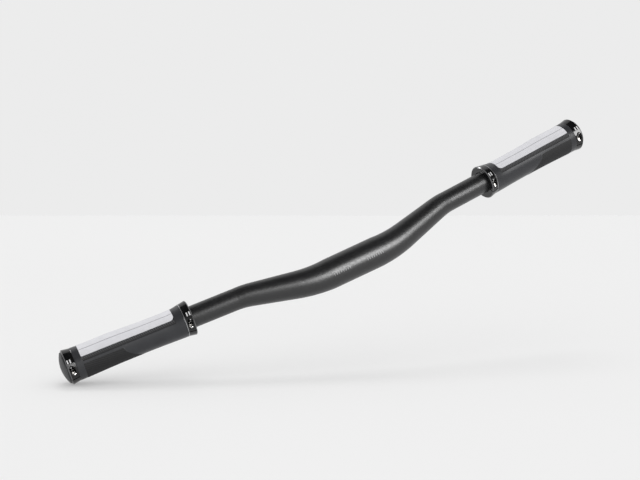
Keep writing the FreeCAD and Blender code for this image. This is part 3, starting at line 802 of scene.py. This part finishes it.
class HANDLEBAR_OT_ring_marks(bpy.types.Operator):
    """Add two white stripes and a dot on the front of each clamp ring"""

    bl_idname = "handlebar.ring_marks"
    bl_label = "Ring marks"

    def execute(self, context):
        finishes, grip, axes = grip_setup(context.scene)
        whole = rubber_length(grip)
        material = mark_finish("mark_white", finishes.stripe)
        seat = grip.ring_seat_radius
        slope = (grip.ring_face_radius - seat) / (grip.ring_width - grip.ring_chamfer)
        dot = grip.dot_width / 2 / grip.ring_face_radius
        middles = math.pi / 2 - np.array([grip.stripe_angle, grip.stripe_angle, grip.dot_angle])
        halves = np.array([grip.stripe_spread / 2, grip.stripe_spread / 2, dot])
        lows = grip.stripe_start + grip.stripe_pitch * np.array([0, 1, DOT_PLACE])
        highs = lows + np.array([grip.stripe_width, grip.stripe_width, grip.dot_width])
        for side, way in SIDES:
            for end in ENDS:

                def cone(turn, out, height, end=end, way=way):
                    """Cone round the grip: radius grows with the distance out from the rubber."""
                    distance = whole + out if end == "outboard" else -out
                    return round_grip(axes, way, seat + slope * out + height, turn, distance)

                flip = (way > 0) == (end == "inboard")
                points, faces = slabs(cone, middles - halves, middles + halves, lows, highs,
                                      RING_MARK_THICKNESS, flip)
                piece = make_piece("ring_marks_%s_%s" % (end, side), points, faces)
                fit_piece(piece, material)
        return {"FINISHED"}


class HANDLEBAR_OT_bolts(bpy.types.Operator):
    """Put the bright steel finish on the four clamp bolts"""

    bl_idname = "handlebar.bolts"
    bl_label = "Clamp bolts"

    def execute(self, context):
        dress_ends("clamp_bolt", bolt_finish(context.scene.handlebar_finishes))
        return {"FINISHED"}


class HANDLEBAR_OT_rubber(bpy.types.Operator):
    """Make the grip rubber of both sides, and finish the hard cores inside it"""

    bl_idname = "handlebar.rubber"
    bl_label = "Grip rubber"

    def execute(self, context):
        finishes, grip, axes = grip_setup(context.scene)
        material = rubber_finish(finishes)
        core = plastic_finish("core_black_plastic", finishes.core, low=0.45, high=0.58)
        for side, way in SIDES:
            piece = make_rubber("rubber_sleeve_" + side, way, grip, axes)
            fit_piece(piece, material, ["grip_rubber_" + side])
            dress_node("grip_core_" + side, core)
        return {"FINISHED"}


class HANDLEBAR_OT_pads(bpy.types.Operator):
    """Make the pale grooved pad on top of each grip"""

    bl_idname = "handlebar.pads"
    bl_label = "Grip pads"

    def execute(self, context):
        finishes, grip, axes = grip_setup(context.scene)
        material = pad_finish(finishes)
        for side, way in SIDES:
            piece = make_pad("palm_pad_" + side, way, grip, axes)
            fit_piece(piece, material, ["grip_pad_" + side])
        return {"FINISHED"}


class HANDLEBAR_OT_plugs(bpy.types.Operator):
    """Put the dark plastic finish on the two end plugs"""

    bl_idname = "handlebar.plugs"
    bl_label = "End plugs"

    def execute(self, context):
        dark = context.scene.handlebar_finishes.plug
        material = plastic_finish("plug_dark_plastic", dark, low=0.42, high=0.56)
        for side, _ in SIDES:
            dress_node("end_plug_" + side, material)
        return {"FINISHED"}


def sheet_finish(name, base, glow):
    """Pale paper that shows from its front only, with very slight clouds.

    The glow is the share of its own colour that it shows to the camera and in mirrors whatever
    falls on it. The rest is matt and takes the object's shadow.
    """
    bench = new_finish(name)
    tone = bench.shades(bench.clouds(bench.place(), 1.5), base, 0.995, 1.005)
    matt = bench.put("ShaderNodeBsdfDiffuse", {"Color": tone})
    lit = bench.put("ShaderNodeEmission", {"Color": tone})
    bench.owner.cycles.emission_sampling = "NONE"
    path = bench.put("ShaderNodeLightPath").outputs
    seen = bench.sum("MAXIMUM", path["Is Camera Ray"], bench.mirrored(path))
    paper = bench.mix(bench.sum("MULTIPLY", seen, glow), matt, lit)
    clear = bench.put("ShaderNodeBsdfTransparent")
    behind = bench.put("ShaderNodeNewGeometry").outputs["Backfacing"]
    return bench.show(bench.mix(behind, paper, clear).outputs[0])


def make_sheet(name, corner, first, second, material):
    """Flat stage sheet: corner + s first + t second, with s and t from 0 to 1."""
    steps = np.linspace(0, 1, SHEET_POINTS)
    s, t = np.meshgrid(steps, steps, indexing="ij")
    points = corner + s[..., None] * first + t[..., None] * second
    piece = make_piece(name, points, grid_faces(SHEET_POINTS, SHEET_POINTS, False, False))
    piece.data.materials.append(material)
    return piece


def make_room(studio, up):
    """Even room light, with a pale room in what is seen and a dark ceiling in what is mirrored."""
    bench = NodeBench(bpy.data.worlds.new("studio_room"), "ShaderNodeOutputWorld")
    bench.owner.cycles.sampling_method = "NONE"
    height = bench.along(bench.put("ShaderNodeTexCoord").outputs["Generated"], up)
    glow = bench.span(height, studio.wall_glow, studio.ceiling_glow, studio.wall_top,
                      studio.ceiling_edge, interpolation_type="SMOOTHSTEP")
    even = bench.put("ShaderNodeBackground", {
        "Color": (1, 1, 1, 1), "Strength": studio.room_light})
    dark = bench.put("ShaderNodeBackground", {"Color": tint(studio.room_grey), "Strength": glow})
    pale = bench.put("ShaderNodeBackground", {"Color": tint(studio.backdrop)})
    path = bench.put("ShaderNodeLightPath").outputs
    unseen = bench.mix(bench.mirrored(path), even, dark)
    return bench.show(bench.mix(path["Is Camera Ray"], unseen, pale).outputs[0])


def make_light(name, kind, way, distance):
    """A lamp that stands off in a direction and shines back at the origin."""
    lamp = bpy.data.objects.new(name, bpy.data.lights.new(name, kind))
    lamp.location = Vector(way) * distance
    lamp.rotation_euler = Vector(way).to_track_quat("Z", "Y").to_euler()
    bpy.context.scene.collection.objects.link(lamp)
    return lamp


def make_camera(studio):
    """The camera, with its film's width and its lens."""
    lens = bpy.data.cameras.new("studio_camera")
    lens.sensor_fit = "HORIZONTAL"
    lens.sensor_width = FILM_WIDTH
    lens.lens = studio.lens
    lens.clip_end = CAMERA_REACH
    camera = bpy.data.objects.new("studio_camera", lens)
    turn = Euler(studio.camera_turn).to_matrix().to_4x4()
    camera.matrix_world = Matrix.Translation(Vector(studio.camera_place)) @ turn
    bpy.context.scene.collection.objects.link(camera)
    return camera


class HANDLEBAR_OT_stage(bpy.types.Operator):
    """Set up the pale floor and backdrop, the soft lights and the camera"""

    bl_idname = "handlebar.stage"
    bl_label = "Studio"

    def execute(self, context):
        scene = context.scene
        studio = scene.handlebar_studio
        up, back = np.array(studio.floor_up), np.array(studio.backdrop_way)
        side, deep = np.cross(back, up) * SHEET_LENGTH, back * SHEET_LENGTH
        corner = back * studio.backdrop_distance - up * studio.floor_drop - side / 2
        make_sheet("studio_floor", corner - deep, side, deep,
                   sheet_finish("studio_floor_paper", studio.floor, studio.floor_glow))
        backdrop = make_sheet("studio_backdrop", corner, side, up * SHEET_LENGTH / 2,
                              sheet_finish("studio_backdrop_paper", studio.backdrop, glow=1.0))
        backdrop.visible_diffuse = False
        backdrop.visible_shadow = False
        scene.world = make_room(studio, up)
        for name, way, light, width in (
            ("studio_top_light", studio.top_way, studio.top_light, studio.top_spread),
            ("studio_front_light", studio.front_way, studio.front_light, studio.front_spread),
        ):
            sun = make_light(name, "SUN", way, SUN_DISTANCE)
            sun.data.energy = light
            sun.data.angle = width
            sun.visible_glossy = False
        strip_size = (studio.strip_length, studio.strip_height)
        for name, way, watts, size in (
            ("studio_strip", studio.strip_way, studio.strip_light, strip_size),
            ("studio_side_light", studio.side_way, studio.side_light, [studio.side_size] * 2),
        ):
            box = make_light(name, "AREA", way, studio.strip_distance)
            box.data.shape = "RECTANGLE"
            box.data.size, box.data.size_y = size
            box.data.energy = watts
            box.visible_camera = False
            box.visible_diffuse = False
        scene.camera = make_camera(studio)
        scene.view_settings.view_transform = "Standard"
        return {"FINISHED"}


class HANDLEBAR_PT_sidebar(bpy.types.Panel):
    """Settings and steps of the handlebar"""

    bl_idname = "HANDLEBAR_PT_sidebar"
    bl_label = "Handlebar"
    bl_space_type = "VIEW_3D"
    bl_region_type = "UI"
    bl_category = "Handlebar"

    def draw(self, context):
        layout = self.layout
        for group in GROUPS:
            box = layout.box()
            box.label(text=group.replace("handlebar_", "").capitalize())
            settings = getattr(context.scene, group)
            for name in settings.__annotations__:
                box.prop(settings, name)
        for step in STEPS:
            layout.operator(step.bl_idname)


GROUPS = {
    "handlebar_bar": BarSizes,
    "handlebar_grip": GripSizes,
    "handlebar_finishes": Finishes,
    "handlebar_studio": Studio,
}
STEPS = (
    HANDLEBAR_OT_bar,
    HANDLEBAR_OT_clamp_marks,
    HANDLEBAR_OT_rings,
    HANDLEBAR_OT_ring_marks,
    HANDLEBAR_OT_bolts,
    HANDLEBAR_OT_rubber,
    HANDLEBAR_OT_pads,
    HANDLEBAR_OT_plugs,
    HANDLEBAR_OT_stage,
)
CLASSES = (*GROUPS.values(), *STEPS, HANDLEBAR_PT_sidebar)


def register():
    for item in CLASSES:
        bpy.utils.register_class(item)
    for name, group in GROUPS.items():
        setattr(bpy.types.Scene, name, PointerProperty(type=group))


def unregister():
    for name in GROUPS:
        delattr(bpy.types.Scene, name)
    for item in reversed(CLASSES):
        bpy.utils.unregister_class(item)


def main():
    """Takes every step in order."""
    register()
    bpy.ops.handlebar.bar()
    bpy.ops.handlebar.clamp_marks()
    bpy.ops.handlebar.rings()
    bpy.ops.handlebar.ring_marks()
    bpy.ops.handlebar.bolts()
    bpy.ops.handlebar.rubber()
    bpy.ops.handlebar.pads()
    bpy.ops.handlebar.plugs()
    bpy.ops.handlebar.stage()


if __name__ == "__main__":
    main()
